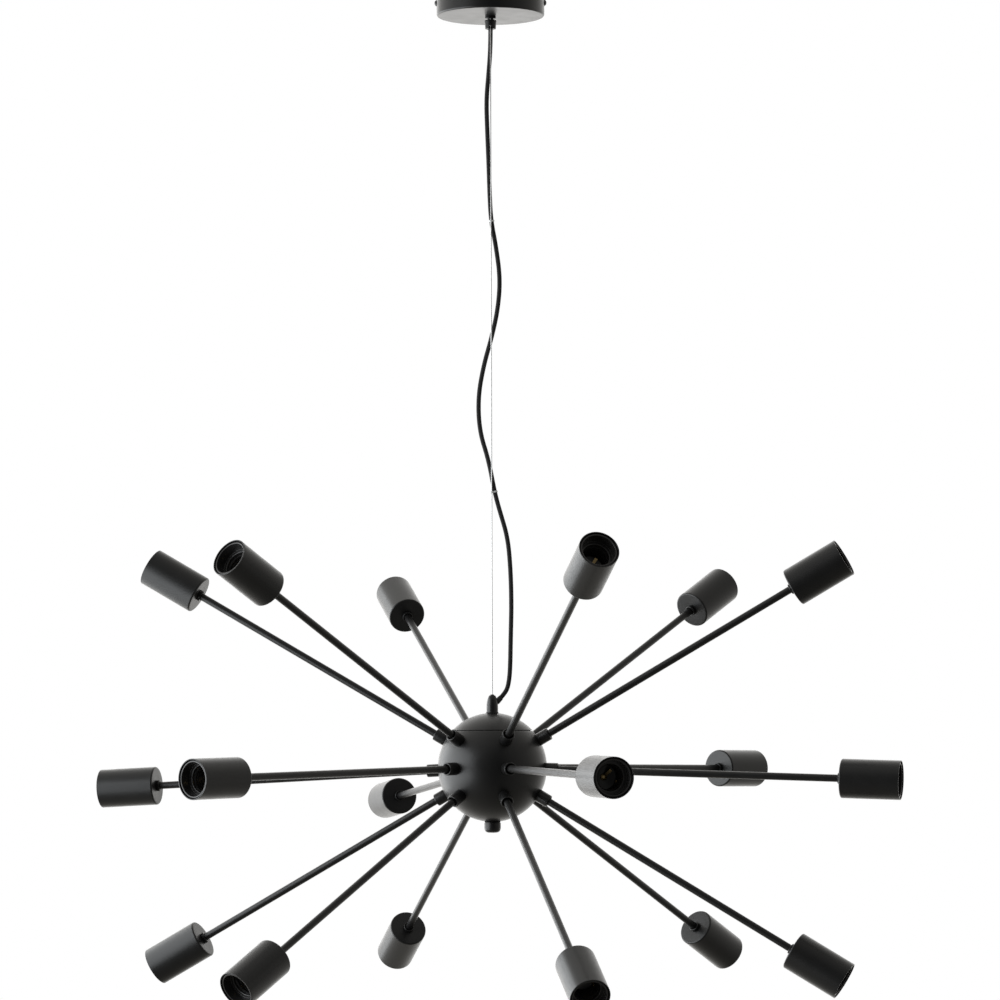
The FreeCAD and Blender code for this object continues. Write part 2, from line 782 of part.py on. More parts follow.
save("hub_shell", hub_shell())
save("hub_cap", hub_cap())
save("hub_collars", *on_every_arm(hub_collar()))
save("hub_nuts", *on_every_arm(hub_nut()))
save("central_rod", central_rod())
save("rod_nuts", *rod_nuts())
save("finial", finial())
save("finial_washer", finial_washer())
save("gripper_body", gripper_body())
save("gripper_plunger", gripper_plunger())
save("gripper_balls", *gripper_balls())
save("gripper_spring", gripper_spring())
save("cord_sleeve", cord_sleeve())
save("hub_lead", hub_lead())
save("splice_block", splice_block())
save("arm_leads", *arm_leads())

for row in ("upper", "middle", "lower"):
    save("arms_" + row, *on_every_arm(arm_tube(), rows=(row,)))
    for number in range(arms_in_a_row):
        save("cup_{}_{}".format(row, number + 1), on_arm(cup(), row, number, cup_reach))
save("cup_collars", *on_every_arm(cup_collar(), cup_reach))
save("holder_caps", *on_every_arm(holder_cap(), cup_reach))
save("lampholders", *on_every_arm(lampholder(), cup_reach))
save("screw_shells", *on_every_arm(screw_shell(), cup_reach))
save("centre_contacts", *on_every_arm(centre_contact(), cup_reach))
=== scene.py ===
"""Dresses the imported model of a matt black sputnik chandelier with 18 lamp cups.

Metres, +Z up, in the frame of the model: the origin is the canopy's centre in the ceiling plane,
+Y points away from the viewer and everything hangs towards -Z.
"""
import math

import bmesh
import bpy
from mathutils import Matrix, Vector


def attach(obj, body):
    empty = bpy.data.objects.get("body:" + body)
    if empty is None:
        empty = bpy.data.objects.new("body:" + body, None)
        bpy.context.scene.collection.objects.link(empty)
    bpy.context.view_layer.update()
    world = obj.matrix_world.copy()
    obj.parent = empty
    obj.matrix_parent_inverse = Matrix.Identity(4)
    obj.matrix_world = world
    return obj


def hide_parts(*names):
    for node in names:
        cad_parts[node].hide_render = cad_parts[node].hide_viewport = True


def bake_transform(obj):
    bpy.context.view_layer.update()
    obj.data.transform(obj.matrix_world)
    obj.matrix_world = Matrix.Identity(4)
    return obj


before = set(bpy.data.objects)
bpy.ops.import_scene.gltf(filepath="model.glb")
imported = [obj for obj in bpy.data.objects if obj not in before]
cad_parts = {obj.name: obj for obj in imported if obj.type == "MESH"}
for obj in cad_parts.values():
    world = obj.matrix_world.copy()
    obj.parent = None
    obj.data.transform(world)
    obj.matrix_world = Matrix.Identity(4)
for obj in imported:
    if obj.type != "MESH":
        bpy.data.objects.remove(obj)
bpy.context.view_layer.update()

scene = bpy.context.scene
scene.view_settings.view_transform = "Standard"

# ---------------------------------------------------------------- camera
# A long lens at the ball's own height, nearly five metres off, looking a little upwards. The pitch, the
# slight turn and the slight roll put every cup where the photograph has it.
camera_place = (0.0611, -4.8435, -0.85405)
camera_pitch = math.radians(3.418)
camera_turn = math.radians(0.615)
camera_roll = math.radians(-0.159)
lens = bpy.data.cameras.new("camera")
lens.sensor_width = 36.0
lens.lens = 157.86
lens.clip_end = 60.0
camera = bpy.data.objects.new("camera", lens)
camera.location = camera_place
camera.rotation_euler = (Matrix.Rotation(camera_turn, 3, "Z")
                         @ Matrix.Rotation(math.pi / 2 + camera_pitch, 3, "X")
                         @ Matrix.Rotation(camera_roll, 3, "Z")).to_euler()
scene.collection.objects.link(camera)
scene.camera = camera

# ---------------------------------------------------------------- room and light
# A white studio that is dark where the camera stands and bright behind the lamp. One large cool softbox
# stands at the left and reaches behind the lamp. The floor is pale and plain.
world = bpy.data.worlds.new("studio")
world.use_nodes = True
scene.world = world
nodes = world.node_tree.nodes
links = world.node_tree.links
nodes.clear()
where = nodes.new("ShaderNodeTexCoord")
parts = nodes.new("ShaderNodeSeparateXYZ")
links.new(where.outputs["Generated"], parts.inputs[0])


def direction_ramp(axis, stops):
    """A colour that changes with the direction's share along one axis, from -1 to 1."""
    share = nodes.new("ShaderNodeMapRange")
    share.inputs["From Min"].default_value = -1.0
    links.new(parts.outputs[axis], share.inputs["Value"])
    ramp = nodes.new("ShaderNodeValToRGB")
    ramp.color_ramp.interpolation = "EASE"
    for number, (place, level, warmth) in enumerate(stops):
        if number < 2:
            stop = ramp.color_ramp.elements[number]
            stop.position = (place + 1) / 2
        else:
            stop = ramp.color_ramp.elements.new((place + 1) / 2)
        stop.color = (level, level * (1 - 0.3 * warmth), level * (1 - warmth), 1)
    links.new(share.outputs[0], ramp.inputs["Fac"])
    return ramp.outputs["Color"]


def product(first, second):
    """Two colours multiplied."""
    mix = nodes.new("ShaderNodeMix")
    mix.data_type = "RGBA"
    mix.blend_type = "MULTIPLY"
    mix.inputs[0].default_value = 1.0
    links.new(first, mix.inputs[6])
    links.new(second, mix.inputs[7])
    return mix.outputs[2]


from_front_to_back = direction_ramp("Y", ((-1, 0.03, 0), (1, 1.0, 0), (-0.57, 0.14, 0.02), (0, 0.22, 0.04),
                                          (0.5, 0.34, 0.04), (0.75, 0.5, 0.02), (0.9, 0.8, 0)))
from_low_to_high = direction_ramp("Z", ((-1, 0.45, 0.1), (1, 1.0, 0.02), (0, 0.95, 0.02)))
from_left_to_right = direction_ramp("X", ((-1, 1.0, 0), (1, 0.66, 0.02), (-0.4, 1.0, 0), (0.3, 0.7, 0.01)))
room = nodes.new("ShaderNodeBackground")
room.inputs["Strength"].default_value = 3.0
links.new(product(product(from_front_to_back, from_low_to_high), from_left_to_right), room.inputs["Color"])
white = nodes.new("ShaderNodeBackground")
white.inputs["Color"].default_value = (1, 1, 1, 1)
ray = nodes.new("ShaderNodeLightPath")
choice = nodes.new("ShaderNodeMixShader")
links.new(ray.outputs["Is Camera Ray"], choice.inputs["Fac"])
links.new(room.outputs[0], choice.inputs[1])
links.new(white.outputs[0], choice.inputs[2])
links.new(choice.outputs[0], nodes.new("ShaderNodeOutputWorld").inputs["Surface"])

softbox = bpy.data.lights.new("left_softbox", "AREA")
softbox.shape = "RECTANGLE"
softbox.size = 1.6
softbox.size_y = 2.9
softbox.energy = 42
softbox.color = (0.93, 0.97, 1.0)
stand = bpy.data.objects.new("left_softbox", softbox)
stand.location = (-1.3, 0.1, -0.84)
stand.rotation_euler = (0, -math.pi / 2, 0)
stand.visible_camera = False
scene.collection.objects.link(stand)

floor_level = -2.4
floor_shape = bmesh.new()
bmesh.ops.create_circle(floor_shape, cap_ends=True, segments=64, radius=14.0)
bmesh.ops.translate(floor_shape, verts=floor_shape.verts, vec=(0, 0, floor_level))
floor_mesh = bpy.data.meshes.new("floor")
floor_shape.to_mesh(floor_mesh)
floor_shape.free()
floor_finish = bpy.data.materials.new("pale floor")
floor_finish.use_nodes = True
nodes = floor_finish.node_tree.nodes
links = floor_finish.node_tree.links
nodes.clear()
matt = nodes.new("ShaderNodeBsdfDiffuse")
matt.inputs["Color"].default_value = (0.9, 0.9, 0.89, 1)
glow = nodes.new("ShaderNodeEmission")
mixed = nodes.new("ShaderNodeMixShader")
mixed.inputs["Fac"].default_value = 0.5
open_side = nodes.new("ShaderNodeBsdfTransparent")
face = nodes.new("ShaderNodeNewGeometry")
ray = nodes.new("ShaderNodeLightPath")
away = nodes.new("ShaderNodeMath")
away.operation = "SUBTRACT"
away.inputs[0].default_value = 1.0
either = nodes.new("ShaderNodeMath")
either.operation = "MAXIMUM"
seen = nodes.new("ShaderNodeMixShader")
links.new(matt.outputs[0], mixed.inputs[1])
links.new(glow.outputs[0], mixed.inputs[2])
links.new(ray.outputs["Is Camera Ray"], away.inputs[1])
links.new(away.outputs[0], either.inputs[0])
links.new(face.outputs["Backfacing"], either.inputs[1])
links.new(either.outputs[0], seen.inputs["Fac"])
links.new(mixed.outputs[0], seen.inputs[1])
links.new(open_side.outputs[0], seen.inputs[2])
links.new(seen.outputs[0], nodes.new("ShaderNodeOutputMaterial").inputs["Surface"])
floor_mesh.materials.append(floor_finish)
floor = bpy.data.objects.new("floor", floor_mesh)
scene.collection.objects.link(floor)

# ---------------------------------------------------------------- suspension wire
# Stainless wire rope, 1.2 mm thick and pulled straight by the lamp's weight. It runs from the ball bush
# in the grip down into the gripper's tip.
wire_y = -0.0042
wire_radius = 0.0006
wire_top = -0.036
wire_end = -0.7874


def finish_nodes(name):
    """A new material, its nodes, its links and its Principled shader."""
    material = bpy.data.materials.new(name)
    material.use_nodes = True
    nodes = material.node_tree.nodes
    return material, nodes, material.node_tree.links, nodes["Principled BSDF"]


def strand_finish():
    """Bright wire with the twist of its strands."""
    material, nodes, links, shader = finish_nodes("stainless rope")
    shader.inputs["Base Color"].default_value = (0.6, 0.6, 0.6, 1)
    shader.inputs["Metallic"].default_value = 1.0
    shader.inputs["Roughness"].default_value = 0.32
    place = nodes.new("ShaderNodeTexCoord")
    centred = nodes.new("ShaderNodeMapping")
    centred.inputs["Location"].default_value = (0, -wire_y, 0)
    split = nodes.new("ShaderNodeSeparateXYZ")
    turn = nodes.new("ShaderNodeMath")
    turn.operation = "ARCTAN2"
    climb = nodes.new("ShaderNodeMath")
    climb.operation = "MULTIPLY_ADD"
    climb.inputs[1].default_value = 900.0
    lay = nodes.new("ShaderNodeMath")
    lay.operation = "MULTIPLY_ADD"
    lay.inputs[1].default_value = 6.0
    groove = nodes.new("ShaderNodeMath")
    groove.operation = "SINE"
    bump = nodes.new("ShaderNodeBump")
    bump.inputs["Strength"].default_value = 0.06
    bump.inputs["Distance"].default_value = 0.00003
    links.new(place.outputs["Object"], centred.inputs["Vector"])
    links.new(centred.outputs[0], split.inputs[0])
    links.new(split.outputs["Y"], turn.inputs[0])
    links.new(split.outputs["X"], turn.inputs[1])
    links.new(turn.outputs[0], lay.inputs[0])
    links.new(split.outputs["Z"], climb.inputs[0])
    links.new(climb.outputs[0], lay.inputs[2])
    links.new(lay.outputs[0], groove.inputs[0])
    links.new(groove.outputs[0], bump.inputs["Height"])
    links.new(bump.outputs[0], shader.inputs["Normal"])
    return material


def line_of(name, points):
    """A curve of one smooth open spline that leaves its first point and ends at its last."""
    curve = bpy.data.curves.new(name, "CURVE")
    curve.dimensions = "3D"
    spline = curve.splines.new("NURBS")
    spline.points.add(len(points) - 1)
    for point, place in zip(spline.points, points):
        point.co = (*place, 1)
    spline.order_u = 3
    spline.use_endpoint_u = True
    spline.resolution_u = 8
    curve.use_fill_caps = True
    piece = bpy.data.objects.new(name, curve)
    scene.collection.objects.link(piece)
    return piece


wire_points = [(0, wire_y, wire_top + share * (wire_end - wire_top)) for share in (0, 0.5, 1)]
wire = line_of("stainless_wire", wire_points)
wire.data.bevel_depth = wire_radius
wire.data.bevel_resolution = 3
wire.data.materials.append(strand_finish())
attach(wire, "suspension")
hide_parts("suspension_wire")

# ---------------------------------------------------------------- power cord
# Round textile cord, 5 mm thick and 0.76 m long from the grip to the gripper's sleeve. It is slack and
# wanders from side to side of the wire. Its cores are limp, and its braid shows as a fine cross weave.
cord_radius = 0.0025
cord_route = [
    (0, 0, -0.036), (0, 0, -0.058), (-0.002, 0.001, -0.086), (-0.005, 0.0025, -0.118),
    (-0.004, 0.0035, -0.152), (-0.0025, 0.003, -0.190), (-0.0015, 0.0012, -0.226), (0, -0.0008, -0.254),
    (0.0055, 0.0005, -0.283), (0.010, 0.003, -0.318), (0.0075, 0.005, -0.351), (0.0005, 0.005, -0.383),
    (-0.0085, 0.004, -0.414), (-0.015, 0.0035, -0.450), (-0.0135, 0.002, -0.488), (-0.0035, 0.0005, -0.520),
    (0.00325, -0.0011, -0.5564), (0.0085, -0.0022, -0.576), (0.0175, -0.001, -0.606), (0.0205, 0.001, -0.640),
    (0.0215, 0.002, -0.680), (0.0205, 0.0026, -0.716), (0.0198, 0.0034, -0.752), (0.0182, 0.0037, -0.767),
    (0.015407, 0.002984, -0.776601), (0.009613, 0.000283, -0.782993),
]


def mesh_of(piece):
    """The mesh that a curve draws."""
    return bpy.data.meshes.new_from_object(piece.evaluated_get(bpy.context.evaluated_depsgraph_get()))


def braided(name, route, radius):
    """A mesh tube along a route's smooth line, with a UV map round it and along it, and the line's points."""
    line = line_of(name + "_line", route)
    path = [vertex.co.copy() for vertex in mesh_of(line).vertices]
    tube = bmesh.new()
    around = 16
    rings = []
    toward = Vector((1, 0, 0))
    for before, here, after in zip([path[0]] + path, path, path[1:] + [path[-1]]):
        heading = (after - before).normalized()
        toward = (toward - heading * toward.dot(heading)).normalized()
        frame_at = Matrix((toward, heading.cross(toward), heading)).transposed().to_4x4()
        frame_at.translation = here
        rings.append(bmesh.ops.create_circle(tube, segments=around, radius=radius, matrix=frame_at)["verts"])
    along = tube.loops.layers.uv.new("braid")
    travelled = 0.0
    for number, (low, high) in enumerate(zip(rings, rings[1:])):
        step = (path[number + 1] - path[number]).length
        for k in range(around):
            corners = [low[k], low[(k + 1) % around], high[(k + 1) % around], high[k]]
            wall = tube.faces.new(corners)
            for loop, (turn, rise) in zip(wall.loops, ((k, 0), (k + 1, 0), (k + 1, step), (k, step))):
                loop[along].uv = (turn / around, travelled + rise)
        travelled += step
    bmesh.ops.holes_fill(tube, edges=tube.edges)
    bmesh.ops.recalc_face_normals(tube, faces=tube.faces)
    mesh = bpy.data.meshes.new(name)
    tube.to_mesh(mesh)
    tube.free()
    mesh.shade_smooth()
    bpy.data.objects.remove(line)
    piece = bpy.data.objects.new(name, mesh)
    scene.collection.objects.link(piece)
    return piece, path


def braid_finish():
    """Matt black textile, woven in two directions over the cores."""
    material, nodes, links, shader = finish_nodes("black braid")
    shader.inputs["Roughness"].default_value = 0.82
    shader.inputs["Sheen Weight"].default_value = 0.08
    shader.inputs["Sheen Roughness"].default_value = 0.5
    uv = nodes.new("ShaderNodeUVMap")
    uv.uv_map = "braid"
    split = nodes.new("ShaderNodeSeparateXYZ")
    links.new(uv.outputs[0], split.inputs[0])
    slopes = []
    for hand in (-1, 1):
        turn = nodes.new("ShaderNodeMath")
        turn.operation = "MULTIPLY"
        turn.inputs[1].default_value = hand * 12 * 2 * math.pi
        links.new(split.outputs["X"], turn.inputs[0])
        run = nodes.new("ShaderNodeMath")
        run.operation = "MULTIPLY_ADD"
        run.inputs[1].default_value = 4600.0
        links.new(split.outputs["Y"], run.inputs[0])
        links.new(turn.outputs[0], run.inputs[2])
        wave = nodes.new("ShaderNodeMath")
        wave.operation = "SINE"
        links.new(run.outputs[0], wave.inputs[0])
        slopes.append(wave)
    weave = nodes.new("ShaderNodeMath")
    weave.operation = "MAXIMUM"
    links.new(slopes[0].outputs[0], weave.inputs[0])
    links.new(slopes[1].outputs[0], weave.inputs[1])
    tone = nodes.new("ShaderNodeValToRGB")
    tone.color_ramp.elements[0].position = 0.2
    tone.color_ramp.elements[0].color = (0.003, 0.003, 0.003, 1)
    tone.color_ramp.elements[1].position = 0.95
    tone.color_ramp.elements[1].color = (0.012, 0.012, 0.013, 1)
    links.new(weave.outputs[0], tone.inputs["Fac"])
    links.new(tone.outputs["Color"], shader.inputs["Base Color"])
    bump = nodes.new("ShaderNodeBump")
    bump.inputs["Strength"].default_value = 0.5
    bump.inputs["Distance"].default_value = 0.00012
    links.new(weave.outputs[0], bump.inputs["Height"])
    links.new(bump.outputs[0], shader.inputs["Normal"])
    return material


braid = braid_finish()
cord, cord_line = braided("textile_cord", cord_route, cord_radius)
cord.data.materials.append(braid)
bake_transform(cord)
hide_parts("power_cord")

# ---------------------------------------------------------------- cord clips
# Two small milky clips tie the slack cord to the wire. Each is moulded in one, with an eye for the cord
# and a smaller one for the wire, and sits square to the cord.
clip_heights = (-0.2545, -0.5552)
clip_thickness = 0.0018


def turned(outline, steps=96):
    """A piece turned about Z from closed (radius, height, edge radius) corners, in metres."""
    shape = bmesh.new()
    corners = [shape.verts.new((corner[0], 0, corner[1])) for corner in outline]
    sides = [shape.edges.new(pair) for pair in zip(corners, corners[1:] + corners[:1])]
    bmesh.ops.spin(shape, geom=corners + sides, axis=(0, 0, 1), cent=(0, 0, 0), angle=2 * math.pi,
                   steps=steps, use_merge=True)
    bmesh.ops.remove_doubles(shape, verts=shape.verts, dist=1e-7)
    bmesh.ops.recalc_face_normals(shape, faces=shape.faces)
    for radius, height, *rounding in outline:
        if rounding:
            rim = [edge for edge in shape.edges
                   if all(abs(end.co.z - height) < 1e-6 and abs(end.co.xy.length - radius) < 1e-6
                          for end in edge.verts)]
            bmesh.ops.bevel(shape, geom=rim, offset=rounding[0], offset_type="OFFSET", segments=4,
                            profile=0.5, affect="EDGES", material=-1, clamp_overlap=True)
    return shape


def added(shape, other, place=Matrix.Identity(4)):
    """Adds another shape to this one, laid in its place."""
    other.transform(place)
    mesh = bpy.data.meshes.new("part")
    other.to_mesh(mesh)
    other.free()
    shape.from_mesh(mesh)
    bpy.data.meshes.remove(mesh)


def finished(name, shape, material, body, slot, *stands_for):
    """A smooth piece from a shape. It rides on a body and stands for its CAD nodes."""
    mesh = bpy.data.meshes.new(name)
    shape.to_mesh(mesh)
    shape.free()
    mesh.materials.append(material)
    mesh.shade_smooth()
    piece = bpy.data.objects.new(name, mesh)
    scene.collection.objects.link(piece)
    piece.modifiers.new("even shading", "WEIGHTED_NORMAL").keep_sharp = True
    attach(piece, body)
    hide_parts(*stands_for)
    return piece


def milky_finish():
    """Clear plastic, a little milky, with a moulded skin."""
    material, nodes, links, shader = finish_nodes("milky plastic")
    shader.inputs["Roughness"].default_value = 0.28
    shader.inputs["Transmission Weight"].default_value = 0.12
    shader.inputs["IOR"].default_value = 1.46
    place = nodes.new("ShaderNodeTexCoord")
    cloud = nodes.new("ShaderNodeTexNoise")
    cloud.inputs["Scale"].default_value = 700.0
    tone = nodes.new("ShaderNodeValToRGB")
    tone.color_ramp.elements[0].color = (0.84, 0.86, 0.86, 1)
    tone.color_ramp.elements[1].color = (0.93, 0.94, 0.94, 1)
    links.new(place.outputs["Object"], cloud.inputs["Vector"])
    links.new(cloud.outputs[0], tone.inputs["Fac"])
    links.new(tone.outputs["Color"], shader.inputs["Base Color"])
    return material


def eye(hole, wall):
    """A moulded ring, square to Z."""
    half = clip_thickness / 2
    return turned([(hole, -half, 0.0003), (hole + wall, -half, 0.0004), (hole + wall, half, 0.0004),
                   (hole, half, 0.0003)], steps=40)


clips = bmesh.new()
for height in clip_heights:
    spot = min(range(1, len(cord_line) - 1), key=lambda k: abs(cord_line[k].z - height))
    middle = cord_line[spot]
    heading = (cord_line[spot - 1] - cord_line[spot + 1]).normalized()
    reach = Vector((0, wire_y, middle.z)) - middle
    reach -= heading * reach.dot(heading)
    square = Matrix((reach.normalized(), heading.cross(reach.normalized()), heading)).transposed().to_4x4()
    square.translation = middle
    added(clips, eye(cord_radius, 0.0008), square)
    added(clips, eye(wire_radius + 0.0001, 0.0009), square @ Matrix.Translation((reach.length, 0, 0)))
    web = bmesh.new()
    bmesh.ops.create_cube(web, size=1.0)
    web_low = cord_radius + 0.0004
    web_high = reach.length - wire_radius - 0.0004
    bmesh.ops.scale(web, verts=web.verts, vec=(web_high - web_low, 0.0022, clip_thickness * 0.7))
    bmesh.ops.bevel(web, geom=web.edges, offset=0.0003, offset_type="OFFSET", segments=2, profile=0.5,
                    affect="EDGES", material=-1)
    added(clips, web, square @ Matrix.Translation(((web_low + web_high) / 2, 0, 0)))
finished("clips", clips, milky_finish(), "suspension", "clear_plastic", "cord_clips")

# ---------------------------------------------------------------- canopy
# Deep-drawn steel cup, 120 mm across and open to the ceiling, powder-coated matt black inside and out.
# Two domed screws through its side hold it on the bracket's tabs.
canopy_radius = 0.060
canopy_height = 0.025
canopy_sheet = 0.0012
stem_radius = 0.005


def coat_finish(name, tone, roughness, grain=1.0):
    """Matt powder coat: fine orange peel, a slightly uneven sheen and faint cloudy tone."""
    material, nodes, links, shader = finish_nodes(name)
    shader.inputs["IOR"].default_value = 1.5
    place = nodes.new("ShaderNodeTexCoord")
    peel = nodes.new("ShaderNodeTexNoise")
    peel.inputs["Scale"].default_value = 1500.0
    peel.inputs["Detail"].default_value = 2.0
    links.new(place.outputs["Object"], peel.inputs["Vector"])
    bump = nodes.new("ShaderNodeBump")
    bump.inputs["Strength"].default_value = 0.25 * grain
    bump.inputs["Distance"].default_value = 0.00006
    links.new(peel.outputs[0], bump.inputs["Height"])
    links.new(bump.outputs[0], shader.inputs["Normal"])
    cloud = nodes.new("ShaderNodeTexNoise")
    cloud.inputs["Scale"].default_value = 55.0
    cloud.inputs["Detail"].default_value = 4.0
    links.new(place.outputs["Object"], cloud.inputs["Vector"])
    shade = nodes.new("ShaderNodeValToRGB")
    shade.color_ramp.elements[0].position = 0.3
    shade.color_ramp.elements[0].color = (tone * 0.85, tone * 0.85, tone * 0.88, 1)
    shade.color_ramp.elements[1].position = 0.7
    shade.color_ramp.elements[1].color = (tone * 1.1, tone * 1.1, tone * 1.12, 1)
    links.new(cloud.outputs[0], shade.inputs["Fac"])
    links.new(shade.outputs["Color"], shader.inputs["Base Color"])
    gloss = nodes.new("ShaderNodeMapRange")
    gloss.inputs["From Min"].default_value = 0.3
    gloss.inputs["From Max"].default_value = 0.7
    gloss.inputs["To Min"].default_value = roughness - 0.02
    gloss.inputs["To Max"].default_value = roughness + 0.02
    links.new(cloud.outputs[0], gloss.inputs["Value"])
    links.new(gloss.outputs[0], shader.inputs["Roughness"])
    return material


black_coat = coat_finish("matt black coat", 0.007, 0.36)
canopy = turned([(stem_radius + 0.0001, -canopy_height), (canopy_radius, -canopy_height, 0.002),
                 (canopy_radius, 0, 0.0003), (canopy_radius - canopy_sheet, 0, 0.0003),
                 (canopy_radius - canopy_sheet, -canopy_height + canopy_sheet, 0.0008),
                 (stem_radius + 0.0001, -canopy_height + canopy_sheet)], steps=128)
finished("canopy", canopy, black_coat, "canopy", "black_paint", "canopy_cup")

# ---------------------------------------------------------------- bracket and wiring
# Zinc-plated strap with its tabs, ear, riveted wire anchor and earth point, and a white terminal block.
# The ceiling hides them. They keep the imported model's own solids and get their finishes here.


def dressed(material, *names):
    """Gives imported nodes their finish."""
    for name in names:
        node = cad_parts[name]
        node.data.materials.clear()
        node.data.materials.append(material)


def plated_finish(name, colour, roughness):
    """Plated or drawn metal with fine rolling marks and a cloudy sheen."""
    material, nodes, links, shader = finish_nodes(name)
    shader.inputs["Metallic"].default_value = 1.0
    place = nodes.new("ShaderNodeTexCoord")
    rolled = nodes.new("ShaderNodeMapping")
    rolled.inputs["Scale"].default_value = (60, 1500, 400)
    marks = nodes.new("ShaderNodeTexNoise")
    marks.inputs["Scale"].default_value = 1.0
    links.new(place.outputs["Object"], rolled.inputs["Vector"])
    links.new(rolled.outputs[0], marks.inputs["Vector"])
    tone = nodes.new("ShaderNodeValToRGB")
    tone.color_ramp.elements[0].position = 0.3
    tone.color_ramp.elements[0].color = (*[share * 0.85 for share in colour], 1)
    tone.color_ramp.elements[1].position = 0.7
    tone.color_ramp.elements[1].color = (*colour, 1)
    links.new(marks.outputs[0], tone.inputs["Fac"])
    links.new(tone.outputs["Color"], shader.inputs["Base Color"])
    gloss = nodes.new("ShaderNodeMapRange")
    gloss.inputs["To Min"].default_value = roughness - 0.08
    gloss.inputs["To Max"].default_value = roughness + 0.08
    links.new(marks.outputs[0], gloss.inputs["Value"])
    links.new(gloss.outputs[0], shader.inputs["Roughness"])
    return material


def moulded_finish(name, colour, roughness):
    """Moulded plastic with a fine spark-eroded grain."""
    material, nodes, links, shader = finish_nodes(name)
    place = nodes.new("ShaderNodeTexCoord")
    grain = nodes.new("ShaderNodeTexNoise")
    grain.inputs["Scale"].default_value = 2600.0
    links.new(place.outputs["Object"], grain.inputs["Vector"])
    tone = nodes.new("ShaderNodeValToRGB")
    tone.color_ramp.elements[0].position = 0.35
    tone.color_ramp.elements[0].color = (*[share * 0.9 for share in colour], 1)
    tone.color_ramp.elements[1].position = 0.65
    tone.color_ramp.elements[1].color = (*colour, 1)
    links.new(grain.outputs[0], tone.inputs["Fac"])
    links.new(tone.outputs["Color"], shader.inputs["Base Color"])
    bump = nodes.new("ShaderNodeBump")
    bump.inputs["Strength"].default_value = 0.2
    bump.inputs["Distance"].default_value = 0.00003
    links.new(grain.outputs[0], bump.inputs["Height"])
    links.new(bump.outputs[0], shader.inputs["Normal"])
    shader.inputs["Roughness"].default_value = roughness
    return material


zinc = plated_finish("zinc plate", (0.62, 0.62, 0.6), 0.38)
brass = plated_finish("plain brass", (0.78, 0.57, 0.27), 0.26)
drawn_steel = plated_finish("drawn steel", (0.58, 0.58, 0.57), 0.3)
screw_black = coat_finish("black screw lacquer", 0.014, 0.34, grain=0.5)
white_plastic = moulded_finish("white plastic", (0.8, 0.79, 0.74), 0.42)
black_plastic = moulded_finish("black plastic", (0.010, 0.010, 0.010), 0.3)
holder_plastic = moulded_finish("holder plastic", (0.028, 0.027, 0.027), 0.22)
dressed(zinc, "ceiling_bracket", "wire_anchor", "anchor_screw", "earth_screw", "grip_nut")
dressed(white_plastic, "terminal_block")
dressed(brass, "terminal_screws")
dressed(drawn_steel, "wire_top_run", "wire_swivel_ball")
dressed(screw_black, "canopy_side_screws")

inner_route = [(0, 0, -0.036), (0, 0, -0.0345), (0, 0, -0.007), (0, 0.017, -0.007)]
inner_cord, _ = braided("terminal_cord", inner_route, cord_radius)
inner_cord.data.materials.append(braid)
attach(inner_cord, "canopy")
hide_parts("cord_inner_run")

# ---------------------------------------------------------------- cord grip
# Black plastic grip on a hollow M10 stem, with a lock ring against the canopy. Its slit lets the wire out
# in front of the cord.
dressed(black_plastic, "cord_grip")
ring_radius = 0.006
ring_low = -0.028
lock_ring = turned([(stem_radius, ring_low), (ring_radius, ring_low, 0.0006), (ring_radius, -canopy_height),
                    (stem_radius, -canopy_height)], steps=48)
finished("lock_ring", lock_ring, black_plastic, "canopy", "black_paint", "grip_ring")

# ---------------------------------------------------------------- ball
# Two spun steel shells, 120 mm across: the cap sits in the lower one with a spigot, and the seam between
# them shows as a thin dark line. Powder-coated like the canopy.
ball_radius = 0.060
ball_sheet = 0.0015
hub_z = -0.860
seam_height = 0.0403
seam_half_gap = 0.0004
spigot_radius = 0.0421
spigot_depth = 0.004
ball_place = Matrix.Translation((0, wire_y, hub_z))


def half_ball(keep_above):
    """The ball's skin on one side of the seam, its edge turned in and bevelled."""
    shell = bmesh.new()
    bmesh.ops.create_uvsphere(shell, u_segments=160, v_segments=96, radius=ball_radius)
    level = seam_height + (seam_half_gap if keep_above else -seam_half_gap)
    bmesh.ops.bisect_plane(shell, geom=shell.verts[:] + shell.edges[:] + shell.faces[:],
                           plane_co=(0, 0, level), plane_no=(0, 0, 1), clear_inner=keep_above,
                           clear_outer=not keep_above)
    rim = [edge for edge in shell.edges if edge.is_boundary]
    lip_radius = spigot_radius if keep_above else spigot_radius + 0.0002
    rim_radius = math.sqrt(ball_radius ** 2 - level ** 2)
    for radius_now, radius_next, drop in ((rim_radius, lip_radius, 0),
                                          (lip_radius, lip_radius, -spigot_depth)):
        grown = bmesh.ops.extrude_edge_only(shell, edges=rim)["geom"]
        corners = [item for item in grown if isinstance(item, bmesh.types.BMVert)]
        rim = [item for item in grown if isinstance(item, bmesh.types.BMEdge) and item.is_boundary]
        ratio = radius_next / radius_now
        bmesh.ops.scale(shell, verts=corners, vec=(ratio, ratio, 1))
        bmesh.ops.translate(shell, verts=corners, vec=(0, 0, drop))
    bmesh.ops.holes_fill(shell, edges=rim)
    bmesh.ops.recalc_face_normals(shell, faces=shell.faces)
    seam = [edge for edge in shell.edges if all(abs(end.co.length - ball_radius) < 1e-6
                                                and abs(end.co.z - level) < 1e-6 for end in edge.verts)]
    bmesh.ops.bevel(shell, geom=seam, offset=0.00035, offset_type="OFFSET", segments=3, profile=0.5,
                    affect="EDGES", material=-1)
    shell.transform(ball_place)
    return shell


